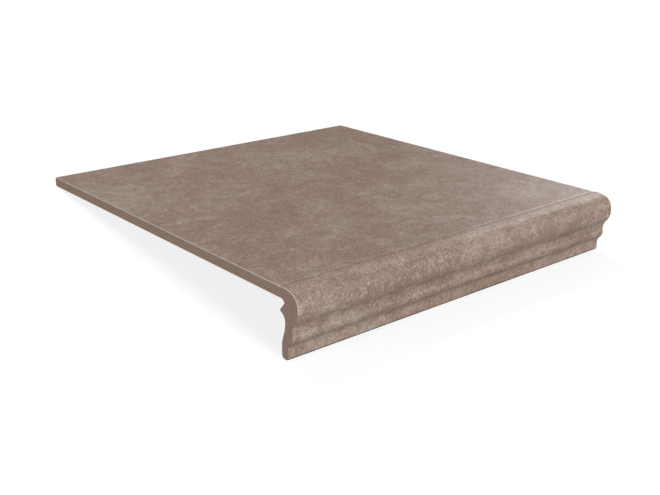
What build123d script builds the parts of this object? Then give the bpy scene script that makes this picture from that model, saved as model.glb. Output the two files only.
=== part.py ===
"""Stair tread tile: one fired piece of stone look porcelain with a rounded drop nosing.

The tread is a flat square slab. Its front edge runs on into a moulded nosing that
rolls over the edge of the step, draws in through an ogee and ends in a plain lip.
On the hidden side a keying rib stands behind the roll and grips the adhesive.

The tile is drawn level first: X runs along the nosing, minus Y is the front, and Z
zero is the face of the tread. It is then leaned back until the lip and the rear
arris touch the floor together, which is how the loose tile lies when set down.
"""
import math
import os

from build123d import *

os.makedirs("parts", exist_ok=True)

# Tread slab
tile_width = 330.0          # along the nosing
tread_depth = 330.0         # flat square face, rear edge to the foot of the crown
body_thickness = 8.0
edge_arris = 0.6            # rounding of the rear edge and of both ends

# Joint line pressed between the flat face and the nosing
joint_wall = 1.0            # steep front wall, from the lowest line to the foot of the crown
joint_slope = 4.0           # gentle rear slope, from the face to the lowest line
joint_depth = 0.42          # below the face of the tread
joint_round = 0.5

# Front of the nosing, each reach is measured forward from the foot of the crown
crown_rise = 0.45           # the crown starts this much above the face
crown_reach = 8.5
crown_drop = 0.45
roll_reach = 17.0
roll_height = 2.7           # upright stretch under the roll
hollow_reach = 10.8
hollow_drop = 29.6
bead_reach = 11.3
bead_drop = 32.3
lip_reach = 6.7
lip_drop = 42.4

# Plain lip
nosing_drop = 50.0
lip_thickness = 7.4
sole_round = 0.42 * lip_thickness

# Back of the nosing
swell_drop = 42.0           # where the back of the lip starts to draw in
cove_reach = 3.1
cove_drop = 23.5

# Keying rib behind the roll
notch_reach = 2.9
notch_drop = 2.2            # below the underside of the slab
notch_run = 2.8             # the slope from the underside down into the notch
notch_round = 0.8
rib_reach = 3.1             # backward from the foot of the crown
rib_drop = 17.1
rib_round = 1.2

# Keying pockets pressed into the bedding side of the slab
pocket_depth = 0.5
pocket_size = 26.0
pocket_pitch = 32.0
pocket_margin = 18.0        # least plain border round the field of pockets

# Points of the section, written as (Y, Z)
crown_foot = -tread_depth
joint_foot = (crown_foot + joint_wall, -joint_depth)
joint_rear = (joint_foot[0] + joint_slope, 0.0)
lip_front_y = crown_foot - lip_reach
lip_back_y = lip_front_y + lip_thickness
crown_back = (crown_foot, crown_rise)
crown_front = (crown_foot - crown_reach, -crown_drop)
crown_tilt = 2 * math.atan2(crown_rise + crown_drop, crown_back[0] - crown_front[0])
roll_radius = (roll_reach - crown_reach) / (1 - math.sin(crown_tilt))
roll = (crown_foot - roll_reach, -crown_drop - roll_radius * math.cos(crown_tilt))
roll_foot = (roll[0], roll[1] - roll_height)
hollow = (crown_foot - hollow_reach, -hollow_drop)
bead = (crown_foot - bead_reach, -bead_drop)
lip_top = (lip_front_y, -lip_drop)
toe = (lip_front_y, -nosing_drop)
heel = (lip_back_y, -nosing_drop)
swell = (lip_back_y, -swell_drop)
cove = (crown_foot - cove_reach, -cove_drop)
rib_tip = (crown_foot + rib_reach, -rib_drop)
notch = (crown_foot - notch_reach, -body_thickness - notch_drop)
underside_front = (notch[0] + notch_run, -body_thickness)
rear_bottom = (0.0, -body_thickness)
rear_top = (0.0, 0.0)


def midway(first, second):
    """Return the point halfway between two section points."""
    return ((first[0] + second[0]) / 2, (first[1] + second[1]) / 2)


def ogee(first, second):
    """Draw two equal arcs that leave both section points upright and meet between them."""
    upright = (0, math.copysign(1, second[1] - first[1]))
    leaving = TangentArc(first, midway(first, second), tangent=upright)
    TangentArc(midway(first, second), second, tangent=leaving % 1)


with BuildPart() as level_tile:
    with BuildSketch(Plane.YZ.offset(-tile_width / 2)) as section:
        with BuildLine():
            Line(rear_bottom, rear_top)
            Line(rear_top, joint_rear)
            # Shallow joint line, where the face dips and then steps up to the crown
            TangentArc(joint_rear, joint_foot, tangent=(-1, 0))
            Line(joint_foot, crown_back)
            # Gentle crown, then the roll over the edge of the step, ending upright
            crown_arc = TangentArc(crown_back, crown_front, tangent=(-1, 0))
            TangentArc(crown_front, roll, tangent=crown_arc % 1)
            Line(roll, roll_foot)
            ogee(roll_foot, hollow)
            ogee(hollow, bead)
            ogee(bead, lip_top)
            Polyline(lip_top, toe, heel, swell)
            ogee(swell, cove)
            # Cove under the rib, then the rib and its notch
            TangentArc(cove, rib_tip, tangent=(0, 1))
            Polyline(rib_tip, notch, underside_front, rear_bottom)
        make_face()
        fillet(section.vertices().sort_by_distance(toe)[0], radius=sole_round)
        fillet(section.vertices().sort_by_distance(heel)[0], radius=sole_round)
        fillet(section.vertices().sort_by_distance(rib_tip)[0], radius=rib_round)
        fillet(section.vertices().sort_by_distance(notch)[0], radius=notch_round)
        fillet(section.vertices().sort_by_distance(joint_foot)[0], radius=joint_round)
        fillet(section.vertices().sort_by_distance(rear_top)[0], radius=edge_arris)
        fillet(section.vertices().sort_by_distance(rear_bottom)[0], radius=edge_arris)
    extrude(amount=tile_width)

    # Keying pockets in the bedding side
    bed_depth = tread_depth - notch_reach
    across = int((tile_width - 2 * pocket_margin - pocket_size) // pocket_pitch) + 1
    along = int((bed_depth - 2 * pocket_margin - pocket_size) // pocket_pitch) + 1
    with BuildSketch(Plane.XY.offset(-body_thickness)):
        with Locations((0, -bed_depth / 2)):
            with GridLocations(pocket_pitch, pocket_pitch, across, along):
                Rectangle(pocket_size, pocket_size)
    extrude(amount=pocket_depth, mode=Mode.SUBTRACT)

    # Eased edge round both ends
    end_edges = level_tile.faces().filter_by(Axis.X).sort_by(Axis.X)
    fillet(end_edges[0].edges() + end_edges[-1].edges(), radius=edge_arris)

# Lean: the floor line touches the rounded lip and the rounded rear arris
run = -edge_arris - (lip_back_y - sole_round)
rise = (nosing_drop - sole_round) - (body_thickness - edge_arris)
lean = math.degrees(
    math.atan2(rise, run) + math.asin((sole_round - edge_arris) / math.hypot(run, rise))
)

leaned_tile = level_tile.part.rotate(Axis.X, -lean)
bounds = leaned_tile.bounding_box()
with BuildPart() as stair_tread_tile:
    add(leaned_tile.moved(Location((0, -bounds.center().Y, -bounds.min.Z))))

stair_tread_tile.part.label = "stair_tread_tile"
export_step(stair_tread_tile.part, "parts/stair_tread_tile.step")
print("lean", round(lean, 4), "faces", len(stair_tread_tile.part.faces()))
print("box", bounds.size)
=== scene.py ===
"""Looks of a stair tread tile: printed stone look face, fired body, soft studio light.

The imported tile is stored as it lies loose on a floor, leaned back on its lip and its
rear edge. The visible tile is worked from that solid, so its outline stays the same.

In the level frame the tread lies flat, X runs along the nosing, the rear top edge is
Y zero, minus Y is the front and Z zero is the face. Lengths are metres unless a name
ends in _mm.
"""

import logging
import math
from dataclasses import dataclass
from enum import Enum

import bmesh
import bpy
from mathutils import Matrix, Vector, noise

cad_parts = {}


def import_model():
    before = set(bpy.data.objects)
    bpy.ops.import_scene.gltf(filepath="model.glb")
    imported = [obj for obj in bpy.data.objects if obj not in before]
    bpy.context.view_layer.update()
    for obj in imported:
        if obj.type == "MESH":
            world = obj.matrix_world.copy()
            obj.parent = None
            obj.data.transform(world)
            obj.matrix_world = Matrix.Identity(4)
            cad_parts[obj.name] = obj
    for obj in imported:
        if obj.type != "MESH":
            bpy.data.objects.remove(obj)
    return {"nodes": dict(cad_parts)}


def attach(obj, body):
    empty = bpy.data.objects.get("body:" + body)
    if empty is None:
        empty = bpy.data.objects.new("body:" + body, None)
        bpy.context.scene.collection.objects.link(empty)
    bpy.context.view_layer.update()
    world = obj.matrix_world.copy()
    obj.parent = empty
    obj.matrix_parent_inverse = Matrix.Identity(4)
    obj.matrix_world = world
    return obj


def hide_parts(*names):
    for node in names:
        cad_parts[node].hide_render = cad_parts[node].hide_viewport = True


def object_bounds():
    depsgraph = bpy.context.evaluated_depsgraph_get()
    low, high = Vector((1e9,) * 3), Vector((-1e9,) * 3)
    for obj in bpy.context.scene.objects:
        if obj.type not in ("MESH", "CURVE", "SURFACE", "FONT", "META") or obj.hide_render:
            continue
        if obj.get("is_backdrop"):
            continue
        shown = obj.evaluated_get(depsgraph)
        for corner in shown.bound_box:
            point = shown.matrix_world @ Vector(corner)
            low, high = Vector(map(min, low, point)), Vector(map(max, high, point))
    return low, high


logging.basicConfig(level=logging.INFO, format="%(levelname)s %(message)s")
log = logging.getLogger("stair_tread_tile")

Socket = bpy.types.NodeSocket

MM = 0.001
IMAGE_WIDTH_PX = 660
SENSOR_WIDTH_MM = 36.0
NODE_NAME = "stair_tread_tile"
PIECE_NAME = "tread_tile_dressed"
PORCELAIN_IOR = 1.5
NOISE_MIDDLE = 0.5
UP_FACING = 0.9  # least Z of the stored normal of the tread's face
NODE_STEP_X = 190
NODE_STEP_Y = 170
NODE_ROWS = 4


class Side(Enum):
    """Which finish a facet of the tile carries."""

    PRINTED = 0
    FIRED = 1
    # Painted highlight on the arris at both ends
    ARRIS_HIGHLIGHT = 2
    # Painted shade under the lip
    SHADED_SOLE = 3


def srgb(code: str) -> tuple[float, float, float, float]:
    """Turn an sRGB hex colour into linear light.

    Args:
        code: six hex digits, with or without a leading hash.

    Returns:
        Red, green, blue and an alpha of one.
    """
    digits = code.lstrip("#")
    linear = []
    for start in (0, 2, 4):
        value = int(digits[start : start + 2], 16) / 255
        if value <= 0.04045:
            linear.append(value / 12.92)
        else:
            linear.append(((value + 0.055) / 1.055) ** 2.4)
    return (linear[0], linear[1], linear[2], 1.0)


@dataclass(frozen=True)
class Lean:
    """How the loose tile is turned from level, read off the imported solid."""

    angle: float
    rear_edge: Vector

    @property
    def offset_y(self) -> float:
        """How far turning alone leaves the level frame's origin along Y."""
        return (Matrix.Rotation(self.angle, 3, "X") @ self.rear_edge).y

    @classmethod
    def of_mesh(cls, mesh: bpy.types.Mesh) -> "Lean":
        """Read the lean from the flat face and the place of the rear top edge.

        Args:
            mesh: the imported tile's mesh.

        Returns:
            The lean, with the point of the level frame's origin.
        """
        face = max(
            (p for p in mesh.polygons if p.normal.z > UP_FACING),
            key=lambda p: p.area,
        )
        angle = math.atan2(face.normal.y, face.normal.z)
        normal = Vector((0.0, math.sin(angle), math.cos(angle)))
        along = Vector((0.0, math.cos(angle), -math.sin(angle)))
        height = face.center.dot(normal)
        reach = max(v.co.dot(along) for v in mesh.vertices)
        return cls(angle, along * reach + normal * height)

    def to_stored(self) -> Matrix:
        """Return the matrix from the level frame to the stored one."""
        return Matrix.Translation(self.rear_edge) @ Matrix.Rotation(-self.angle, 4, "X")

    def to_level(self) -> Matrix:
        """Return the matrix from the stored frame to the level one."""
        return self.to_stored().inverted()


@dataclass(frozen=True)
class Cloud:
    """One size of noise in a finish, how fine it breaks up and how far it curls."""

    size_mm: float
    detail: float
    roughness: float = 0.6
    twist: float = 0.0


@dataclass(frozen=True)
class Climb:
    """A share that goes from its least to its most between two values."""

    start: float
    end: float
    most: float = 1.0
    least: float = 0.0


@dataclass(frozen=True)
class Band:
    """A soft stripe of colour along the nosing that grows from left to right.

    It lies at one distance in front of the rear edge, and half_mm is half its width.
    It carries the painted sheen and the painted shade along the joint line.
    """

    colour_hex: str
    at_mm: float
    half_mm: float
    left_share: float
    right_share: float
    grows_from_mm: float = 10.0
    grown_at_mm: float = 100.0


@dataclass
class NodeBench:
    """Adds nodes to one tree and lines them up from left to right."""

    tree: bpy.types.NodeTree
    column: int = 0

    def add(
        self,
        kind: str,
        settings: dict[str | int, object] | None = None,
        **links: object,
    ) -> bpy.types.Node:
        """Add a node, set it and link it.

        Args:
            kind: the node's type name.
            settings: attributes of the node, or input sockets by name or number.
            links: input names, spaces written as underscores, or numbers after an
                underscore, with an output socket to link or a plain value.

        Returns:
            The new node.
        """
        node = self.tree.nodes.new(kind)
        row = self.column % NODE_ROWS
        node.location = (self.column * NODE_STEP_X, -row * NODE_STEP_Y)
        self.column += 1
        for name, value in (settings or {}).items():
            if isinstance(name, int) or name in node.inputs:
                node.inputs[name].default_value = value
            else:
                setattr(node, name, value)
        for name, source in links.items():
            key: object = int(name[1:]) if name[0] == "_" else name.replace("_", " ")
            if isinstance(source, Socket):
                self.tree.links.new(source, node.inputs[key])
            else:
                node.inputs[key].default_value = source
        return node

    def level_place(self, lean: Lean) -> Socket:
        """Return the place on the tile, turned with it so that patterns lie level."""
        return self.add(
            "ShaderNodeMapping",
            {"Rotation": (lean.angle, 0.0, 0.0)},
            Vector=self.add("ShaderNodeTexCoord").outputs["Object"],
        ).outputs["Vector"]

    def cloud(self, cloud: Cloud, place: Socket) -> Socket:
        """Return a noise of one real size."""
        return self.add(
            "ShaderNodeTexNoise",
            {
                "Scale": 1 / (cloud.size_mm * MM),
                "Detail": cloud.detail,
                "Roughness": cloud.roughness,
                "Distortion": cloud.twist,
            },
            Vector=place,
        ).outputs["Fac"]

    def calc(self, operation: str, first: object, second: object = 0.0) -> Socket:
        """Return the result of one operation on sockets or plain values."""
        return self.add(
            "ShaderNodeMath", {"operation": operation}, _0=first, _1=second
        ).outputs[0]

    def climb(self, value: Socket, climb: Climb) -> Socket:
        """Return a share that follows a value between two of its values."""
        return self.add(
            "ShaderNodeMapRange",
            {
                "From Min": climb.start,
                "From Max": climb.end,
                "To Min": climb.least,
                "To Max": climb.most,
            },
            Value=value,
        ).outputs[0]

    def paint(self, under: object, code: str, share: Socket) -> Socket:
        """Return a colour with a share of another one laid over it."""
        return self.add(
            "ShaderNodeMix",
            {"data_type": "RGBA", 7: srgb(code)},
            _0=share,
            _6=under,
        ).outputs[2]

    def bump(self, strength: float, depth_mm: float, height: Socket) -> Socket:
        """Return a normal that follows a fine relief."""
        return self.add(
            "ShaderNodeBump",
            {"Strength": strength, "Distance": depth_mm * MM},
            Height=height,
        ).outputs[0]


def new_material(name: str) -> tuple[bpy.types.Material, NodeBench]:
    """Start an empty node material.

    Args:
        name: the finish it stands for.

    Returns:
        The material and a bench for its tree.
    """
    material = bpy.data.materials.new(name)
    material.use_nodes = True
    material.node_tree.nodes.clear()
    return material, NodeBench(material.node_tree)


@dataclass(frozen=True)
class StoneGlaze:
    """Matt glazed porcelain with a printed cement pattern.

    The print is four sizes of cloud, with pale rubbed strokes, flecks and pits. The
    glaze is matt, so it only lifts into a pale sheen where the light comes in low. A
    pale stripe of painted sheen lies on the slope into the joint line and a dark
    stripe of painted shade at the foot of the crown, both stronger towards the right
    end.
    """

    name: str = "matt_glazed_cement_print"
    shade_hex: str = "#7E6658"
    ground_hex: str = "#8C7669"
    bloom_hex: str = "#9E8D82"
    shade_at: float = 0.43
    ground_at: float = 0.50
    bloom_at: float = 0.575
    cloud: Cloud = Cloud(95.0, 4.0, 0.55, 0.4)
    patch: Cloud = Cloud(26.0, 6.0, 0.6, 0.9)
    scuff: Cloud = Cloud(6.0, 4.0, 0.6, 1.0)
    grain: Cloud = Cloud(1.5, 2.0)
    cloud_share: float = 0.14
    patch_share: float = 0.19
    scuff_share: float = 0.30
    grain_share: float = 0.37
    fleck_hex: str = "#BDB0A6"
    stroke: Cloud = Cloud(11.0, 3.0, 0.6, 1.4)
    stroke_width: Climb = Climb(0.016, 0.003, 0.6)
    worn_patch: Climb = Climb(0.50, 0.60)
    fleck: Cloud = Cloud(1.9, 2.0, 0.6, 0.3)
    fleck_edge: Climb = Climb(0.60, 0.70, 0.40)
    pit_hex: str = "#75635A"
    pit: Cloud = Cloud(3.4, 4.0, 0.7, 0.8)
    pit_edge: Climb = Climb(0.33, 0.25, 0.6)
    # Painted sheen: a pale stripe on the slope into the joint line, stronger to the right
    joint_sheen: Band = Band("#C0ADA0", -326.8, 1.5, 0.08, 0.42)
    # Painted shade: a dark stripe at the foot of the crown, none at the left end
    joint_shade: Band = Band("#705B4F", -330.2, 0.9, 0.0, 0.9)
    roughness: float = 0.5
    roughness_spread: float = 0.05
    relief: float = 0.35
    relief_mm: float = 0.12

    def build(self, lean: Lean) -> bpy.types.Material:
        """Build the node tree.

        Args:
            lean: turns the pattern with the tile.

        Returns:
            The material.
        """
        material, bench = new_material(self.name)
        level = bench.level_place(lean)
        cloud = bench.cloud(self.cloud, level)
        patch = bench.cloud(self.patch, level)
        scuff = bench.cloud(self.scuff, level)
        grain = bench.cloud(self.grain, level)
        spot = bench.add("ShaderNodeSeparateXYZ", None, Vector=level)

        fleck = bench.climb(bench.cloud(self.fleck, level), self.fleck_edge)
        pit = bench.climb(bench.cloud(self.pit, level), self.pit_edge)
        colour = self.tone(bench, cloud, patch, scuff, grain)
        for share, code in (
            (self.strokes(bench, level, patch), self.fleck_hex),
            (fleck, self.fleck_hex),
            (pit, self.pit_hex),
            # The last two stripes are painted light: sheen on the joint's slope, shade at
            # the crown's foot
            (self.stripe(bench, spot, lean, self.joint_sheen), self.joint_sheen.colour_hex),
            (self.stripe(bench, spot, lean, self.joint_shade), self.joint_shade.colour_hex),
        ):
            colour = bench.paint(colour, code, share)

        spread = self.roughness_spread
        dullness = Climb(0.0, 1.0, self.roughness + spread, self.roughness - spread)
        height = bench.calc("ADD", grain, scuff)
        shader = bench.add(
            "ShaderNodeBsdfPrincipled",
            {"IOR": PORCELAIN_IOR},
            Base_Color=colour,
            Roughness=bench.climb(scuff, dullness),
            Normal=bench.bump(self.relief, self.relief_mm, height),
        )
        bench.add("ShaderNodeOutputMaterial", None, Surface=shader.outputs[0])
        return material

    def tone(
        self, bench: NodeBench, cloud: Socket, patch: Socket, scuff: Socket, grain: Socket
    ) -> Socket:
        """Mix the four clouds into the print's tone.

        Args:
            bench: adds the nodes.
            cloud: the widest noise.
            patch: the next finer one.
            scuff: finer again.
            grain: the finest.

        Returns:
            The tone, from shade over ground to bloom.
        """
        total = bench.calc("MULTIPLY", cloud, self.cloud_share)
        for source, share in (
            (patch, self.patch_share),
            (scuff, self.scuff_share),
            (grain, self.grain_share),
        ):
            total = bench.add(
                "ShaderNodeMath",
                {"operation": "MULTIPLY_ADD", 1: share},
                _0=source,
                _2=total,
            ).outputs[0]
        tone = bench.add("ShaderNodeValToRGB", None, Fac=total)
        steps = tone.color_ramp.elements
        steps[0].position = self.shade_at
        steps[0].color = srgb(self.shade_hex)
        steps[1].position = self.bloom_at
        steps[1].color = srgb(self.bloom_hex)
        steps.new(self.ground_at).color = srgb(self.ground_hex)
        return tone.outputs["Color"]

    def strokes(self, bench: NodeBench, level: Socket, patch: Socket) -> Socket:
        """Draw rubbed strokes, kept to the lighter patches.

        Args:
            bench: adds the nodes.
            level: the place on the tile.
            patch: the noise that says where the print is light.

        Returns:
            The share of the strokes' colour.
        """
        # A noise crosses its middle value along thin curls
        past = bench.calc("SUBTRACT", bench.cloud(self.stroke, level), NOISE_MIDDLE)
        line = bench.climb(bench.calc("ABSOLUTE", past), self.stroke_width)
        return bench.calc("MULTIPLY", line, bench.climb(patch, self.worn_patch))

    def stripe(
        self, bench: NodeBench, spot: bpy.types.Node, lean: Lean, band: Band
    ) -> Socket:
        """Lay one soft band along the nosing.

        Args:
            bench: adds the nodes.
            spot: the place on the tile, split into X, Y and Z.
            lean: says how far the place is off the level frame.
            band: where the band lies and how it grows.

        Returns:
            The share of the band's colour.
        """
        middle = lean.offset_y + band.at_mm * MM
        away = bench.calc("ABSOLUTE", bench.calc("SUBTRACT", spot.outputs["Y"], middle))
        inside = bench.climb(away, Climb(band.half_mm * MM, band.half_mm * MM / 2))
        # The painted sheen and shade grow towards the right end, where the light from the
        # right falls
        growth = bench.climb(
            spot.outputs["X"],
            Climb(
                band.grows_from_mm * MM,
                band.grown_at_mm * MM,
                most=band.right_share,
                least=band.left_share,
            ),
        )
        return bench.calc("MULTIPLY", inside, growth)


@dataclass(frozen=True)
class FiredBody:
    """Unglazed through coloured porcelain, cut and pressed, dry and even.

    A dull taupe with sparse dark grains of iron in it.
    """

    name: str = "fired_porcelain_body"
    clay_hex: str = "#8D7569"
    pale_hex: str = "#92796C"
    cloud: Cloud = Cloud(30.0, 6.0)
    speck_hex: str = "#5A4A41"
    speck_mm: float = 2.2
    speck_above: float = 0.74  # cells whose red is above this hold a speck
    speck_edge: Climb = Climb(0.30, 0.18, 0.75)
    roughness: float = 0.6
    relief: float = 0.3
    relief_mm: float = 0.08

    def build(self, lean: Lean) -> bpy.types.Material:
        """Build the node tree.

        Args:
            lean: turns the pattern with the tile.

        Returns:
            The material.
        """
        material, bench = new_material(self.name)
        level = bench.level_place(lean)
        cloud = bench.cloud(self.cloud, level)
        cells = bench.add(
            "ShaderNodeTexVoronoi",
            {"Scale": 1 / (self.speck_mm * MM), "Randomness": 1.0},
            Vector=level,
        )
        cell = bench.add("ShaderNodeSeparateColor", None, Color=cells.outputs["Color"])
        chosen = bench.calc("GREATER_THAN", cell.outputs["Red"], self.speck_above)
        speck = bench.climb(cells.outputs["Distance"], self.speck_edge)
        clay = bench.paint(srgb(self.clay_hex), self.pale_hex, cloud)
        shader = bench.add(
            "ShaderNodeBsdfPrincipled",
            {"IOR": PORCELAIN_IOR, "Roughness": self.roughness},
            Base_Color=bench.paint(
                clay, self.speck_hex, bench.calc("MULTIPLY", speck, chosen)
            ),
            Normal=bench.bump(self.relief, self.relief_mm, cloud),
        )
        bench.add("ShaderNodeOutputMaterial", None, Surface=shader.outputs[0])
        return material


@dataclass(frozen=True)
class ArrisHighlight:
    """Painted highlight: a pale colour on the arris at both ends."""

    name: str = "painted_highlight_on_the_arris"
    # Pale colour painted on as a highlight along the arris
    colour_hex: str = "#B3A194"
    roughness: float = 0.5

    def build(self) -> bpy.types.Material:
        """Build the node tree.

        Returns:
            The material.
        """
        material, bench = new_material(self.name)
        shader = bench.add(
            "ShaderNodeBsdfPrincipled",
            {
                "Base Color": srgb(self.colour_hex),
                "IOR": PORCELAIN_IOR,
                "Roughness": self.roughness,
            },
        )
        bench.add("ShaderNodeOutputMaterial", None, Surface=shader.outputs[0])
        return material


@dataclass(frozen=True)
class Borders:
    """Where one finish ends and the next begins, in the level frame.

    A turn is one part of a facet's normal. An outward turn leaves out the normal's X,
    so that the arris at both ends takes the side that it borders.
    """

    end_turn: float = 0.97  # X of the two cut ends
    arris_turn: float = 0.2  # X where the arris at an end begins
    highlight_foot: float = -0.014  # Z down to which the arris is pale
    sole_top: float = -0.046
    sole_turn: float = -0.35  # outward Z under the lip
    top_turn: float = 0.35  # outward Z of the tread, the crown and the roll
    tread_floor: float = -0.0009  # lower than the joint line
    roll_start: float = -0.335
    front_start: float = -0.3335
    back_turn: float = 0.3  # outward Y of the hidden side

    def side_of(self, face: bmesh.types.BMFace) -> Side:
        """Say which finish a facet carries.

        Args:
            face: a facet in the level frame.

        Returns:
            Printed for the tread, the roll and the front, with painted highlight on
            the arris at both ends of the tread and the roll, painted shade under the
            lip, and fired for the rest.
        """
        if abs(face.normal.x) > self.end_turn:
            return Side.FIRED
        centre = face.calc_center_median()
        outward = Vector((0.0, face.normal.y, face.normal.z)).normalized()
        # The underside of the lip is painted dark as shade
        if centre.z < self.sole_top and outward.z < self.sole_turn:
            return Side.SHADED_SOLE
        if outward.z > self.top_turn:
            glazed = centre.z > self.tread_floor or centre.y < self.roll_start
        else:
            glazed = centre.y < self.front_start and outward.y < self.back_turn
        if not glazed:
            return Side.FIRED
        # The arris at both ends is painted pale as a highlight
        if abs(face.normal.x) > self.arris_turn and centre.z > self.highlight_foot:
            return Side.ARRIS_HIGHLIGHT
        return Side.PRINTED


@dataclass
class TreadTile:
    """The tile itself: one fired piece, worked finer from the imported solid."""

    node: bpy.types.Object
    lean: Lean
    borders: Borders = Borders()
    glaze: StoneGlaze = StoneGlaze()
    body: FiredBody = FiredBody()
    arris_highlight: ArrisHighlight = ArrisHighlight()
    # Painted shade: the fired body's pattern in dark colours under the lip
    shaded_sole: FiredBody = FiredBody("painted_shade_under_the_lip", "#544036", "#5C483D")
    weld: float = 0.002 * MM
    snap: float = 1e-7
    flat_angle: float = math.radians(0.2)
    sharp_angle: float = math.radians(38.0)
    cell: float = 4.0 * MM
    nosing_back: float = -0.32  # only the nosing is sliced along Z
    swell: float = 0.05 * MM
    swell_size: float = 14.0 * MM
    swell_increment: float = 1.0
    swell_lacunarity: float = 2.0
    swell_octaves: int = 3

    def build(self) -> bpy.types.Object:
        """Make the visible tile and hand it to the frame.

        Returns:
            The finished object.
        """
        shape = bmesh.new()
        shape.from_mesh(self.node.data)
        bmesh.ops.remove_doubles(shape, verts=shape.verts, dist=self.weld)
        bmesh.ops.transform(shape, matrix=self.lean.to_level(), verts=shape.verts)
        bmesh.ops.dissolve_limit(
            shape, angle_limit=self.flat_angle, verts=shape.verts, edges=shape.edges
        )
        self.cut_grid(shape)
        for face in shape.faces:
            face.material_index = self.borders.side_of(face).value
        self.undulate(shape)
        bmesh.ops.transform(shape, matrix=self.lean.to_stored(), verts=shape.verts)
        for face in shape.faces:
            face.smooth = True
        mesh = bpy.data.meshes.new(PIECE_NAME)
        shape.to_mesh(mesh)
        shape.free()
        mesh.set_sharp_from_angle(angle=self.sharp_angle)
        # In the order of Side
        mesh.materials.append(self.glaze.build(self.lean))
        mesh.materials.append(self.body.build(self.lean))
        mesh.materials.append(self.arris_highlight.build())
        mesh.materials.append(self.shaded_sole.build(self.lean))
        tile = bpy.data.objects.new(PIECE_NAME, mesh)
        bpy.context.collection.objects.link(tile)
        weighting = tile.modifiers.new("flat faces lead", "WEIGHTED_NORMAL")
        weighting.keep_sharp = True
        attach(tile, "root")
        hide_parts(NODE_NAME)
        log.info("tile: %d faces", len(mesh.polygons))
        return tile

    def cut_grid(self, shape: bmesh.types.BMesh) -> None:
        """Slice the tile into small cells, so that its face can undulate.

        Args:
            shape: the tile in the level frame.
        """
        for axis in (0, 1, 2):
            low = min(v.co[axis] for v in shape.verts)
            high = max(v.co[axis] for v in shape.verts)
            normal = Vector([1.0 if i == axis else 0.0 for i in range(3)])
            count = int((high - low) / self.cell)
            for step in range(1, count):
                faces = list(shape.faces)
                if axis == 2:
                    faces = [
                        f for f in faces if f.calc_center_median().y < self.nosing_back
                    ]
                edges = {e for f in faces for e in f.edges}
                verts = {v for f in faces for v in f.verts}
                bmesh.ops.bisect_plane(
                    shape,
                    geom=[*verts, *edges, *faces],
                    dist=self.snap,
                    plane_co=normal * (low + step * (high - low) / count),
                    plane_no=normal,
                )

    def undulate(self, shape: bmesh.types.BMesh) -> None:
        """Press all but the fired side in by a hair, as tiles are never dead flat.

        Args:
            shape: the tile in the level frame.
        """
        shape.normal_update()
        moves = []
        for vert in shape.verts:
            if any(f.material_index == Side.FIRED.value for f in vert.link_faces):
                continue
            height = noise.fractal(
                vert.co / self.swell_size,
                self.swell_increment,
                self.swell_lacunarity,
                self.swell_octaves,
            )
            share = min(max(0.5 + 0.5 * height, 0.0), 1.0)
            moves.append((vert, vert.normal * (-self.swell * share)))
        for vert, move in moves:
            vert.co += move


@dataclass(frozen=True)
class Softbox:
    """One square lamp that faces the tile.

    The bearing is the direction seen from the tile, from the rear towards the right,
    and share is the brightness of a white card that faces the lamp at the tile.
    """

    name: str
    bearing_deg: float
    height_deg: float
    size: float
    share: float
    tint_hex: str = "#FFFFFF"
    distance: float = 3.0

    def hang(self) -> None:
        """Hang the lamp."""
        data = bpy.data.lights.new(self.name, "AREA")
        data.shape = "SQUARE"
        data.size = self.size
        data.color = srgb(self.tint_hex)[:3]
        # A facing white card is as bright as the watts over pi squared, distance squared
        data.energy = self.share * math.pi**2 * self.distance**2
        bearing = math.radians(self.bearing_deg)
        height = math.radians(self.height_deg)
        place = self.distance * Vector(
            (
                math.sin(bearing) * math.cos(height),
                math.cos(bearing) * math.cos(height),
                math.sin(height),
            )
        )
        lamp = bpy.data.objects.new(self.name, data)
        lamp.location = place
        lamp.rotation_euler = (-place).to_track_quat("-Z", "Y").to_euler()
        bpy.context.collection.objects.link(lamp)


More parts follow.
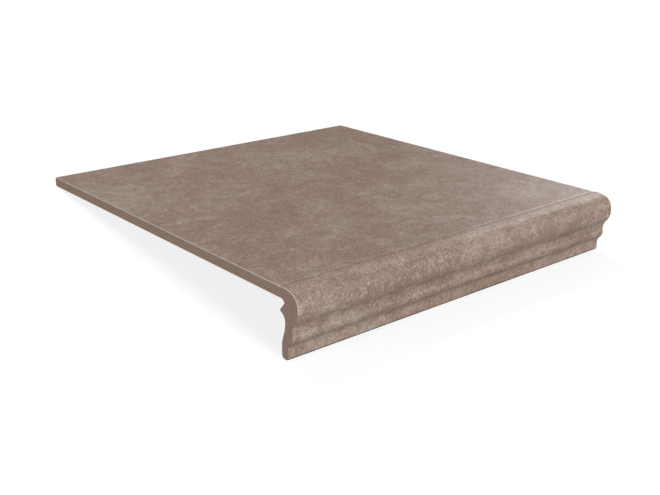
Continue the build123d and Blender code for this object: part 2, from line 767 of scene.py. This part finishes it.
@dataclass(frozen=True)
class Studio:
    """Pale floor, white surroundings and plain soft lamps."""

    softboxes: tuple[Softbox, ...] = (
        Softbox("front_softbox", 180.0, 20.0, 1.0, 0.96, "#FBFDFF"),
        Softbox("rear_softbox", 0.0, 50.0, 1.4, 0.56, "#FFFAF6"),
        Softbox("left_softbox", 270.0, 20.0, 1.0, 0.62),
        Softbox("right_softbox", 66.0, 20.0, 1.0, 0.235),
        Softbox("corner_softbox", 122.0, 18.0, 1.0, 0.13),
    )
    floor_size: float = 60.0
    floor_hex: str = "#878787"
    # How far the floor is lifted to white, over the distance from the tile
    floor_lift: Climb = Climb(1.0, 6.0, most=1.0, least=0.8)
    sky_strength: float = 0.05

    def build(self) -> None:
        """Lay the floor, light the room and log it."""
        self.lay_floor()
        self.light_world()
        for softbox in self.softboxes:
            softbox.hang()
        log.info("studio: floor, world and %d lamps", len(self.softboxes))

    def lay_floor(self) -> None:
        """Lay a plain pale floor that keeps the tile's shadow."""
        shape = bmesh.new()
        bmesh.ops.create_grid(
            shape, x_segments=2, y_segments=2, size=self.floor_size / 2
        )
        mesh = bpy.data.meshes.new("floor")
        shape.to_mesh(mesh)
        shape.free()
        material, bench = new_material("pale_floor_paint")
        paint = bench.add("ShaderNodeBsdfDiffuse", {"Color": srgb(self.floor_hex)})
        # The lamps fade away from the tile, so the lift takes over further out. Only
        # the camera sees it, so it lights nothing.
        away = bench.add(
            "ShaderNodeVectorMath",
            {"operation": "LENGTH"},
            _0=bench.add("ShaderNodeTexCoord").outputs["Object"],
        )
        lift = bench.add(
            "ShaderNodeEmission",
            None,
            Strength=bench.calc(
                "MULTIPLY",
                bench.add("ShaderNodeLightPath").outputs["Is Camera Ray"],
                bench.climb(away.outputs["Value"], self.floor_lift),
            ),
        )
        both = bench.add(
            "ShaderNodeAddShader", None, _0=paint.outputs[0], _1=lift.outputs[0]
        )
        bench.add("ShaderNodeOutputMaterial", None, Surface=both.outputs[0])
        mesh.materials.append(material)
        floor = bpy.data.objects.new("floor", mesh)
        bpy.context.collection.objects.link(floor)
        floor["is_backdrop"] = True

    def light_world(self) -> None:
        """Surround the tile with even light, and show white to the camera."""
        world = bpy.data.worlds.new("studio")
        bpy.context.scene.world = world
        world.use_nodes = True
        world.node_tree.nodes.clear()
        bench = NodeBench(world.node_tree)
        path = bench.add("ShaderNodeLightPath")
        seen = bench.calc(
            "MAXIMUM", path.outputs["Is Camera Ray"], path.outputs["Is Transmission Ray"]
        )
        sky = bench.add(
            "ShaderNodeBackground",
            {"Color": (1.0, 1.0, 1.0, 1.0)},
            Strength=bench.climb(seen, Climb(0.0, 1.0, least=self.sky_strength)),
        )
        bench.add("ShaderNodeOutputWorld", None, Surface=sky.outputs[0])


@dataclass(frozen=True)
class TileCamera:
    """The viewpoint, placed from the level tile's left rear top corner."""

    lean: Lean
    half_width: float
    bearing_deg: float = 39.837
    pitch_deg: float = 19.911
    roll_deg: float = 0.093
    focal_px: float = 950.7
    place_mm: tuple[float, float, float] = (-331.8, -775.6, 227.4)
    clip_start: float = 0.01
    clip_end: float = 50.0

    def build(self) -> None:
        """Set the camera up and make it the scene's own."""
        data = bpy.data.cameras.new("camera")
        data.sensor_width = SENSOR_WIDTH_MM
        data.lens = self.focal_px * SENSOR_WIDTH_MM / IMAGE_WIDTH_PX
        data.clip_start = self.clip_start
        data.clip_end = self.clip_end
        bearing = math.radians(self.bearing_deg)
        pitch = math.radians(self.pitch_deg)
        forward = Vector(
            (
                math.sin(bearing) * math.cos(pitch),
                math.cos(bearing) * math.cos(pitch),
                -math.sin(pitch),
            )
        )
        place = Vector(self.place_mm) * MM - Vector((self.half_width, 0.0, 0.0))
        aim = forward.to_track_quat("-Z", "Y").to_matrix().to_4x4()
        roll = Matrix.Rotation(math.radians(self.roll_deg), 4, "Z")
        camera = bpy.data.objects.new("camera", data)
        camera.matrix_world = (
            self.lean.to_stored() @ Matrix.Translation(place) @ aim @ roll
        )
        bpy.context.collection.objects.link(camera)
        bpy.context.scene.camera = camera
        log.info("camera: %.1f mm lens", data.lens)


def main() -> None:
    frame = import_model()
    bpy.context.scene.view_settings.view_transform = "Standard"
    solid_box = [list(corner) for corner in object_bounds()]
    node = frame["nodes"][NODE_NAME]
    lean = Lean.of_mesh(node.data)
    log.info("lean: %.3f degrees", math.degrees(lean.angle))
    TreadTile(node, lean).build()
    Studio().build()
    TileCamera(lean, half_width=solid_box[1][0]).build()


if __name__ == "__main__":
    main()
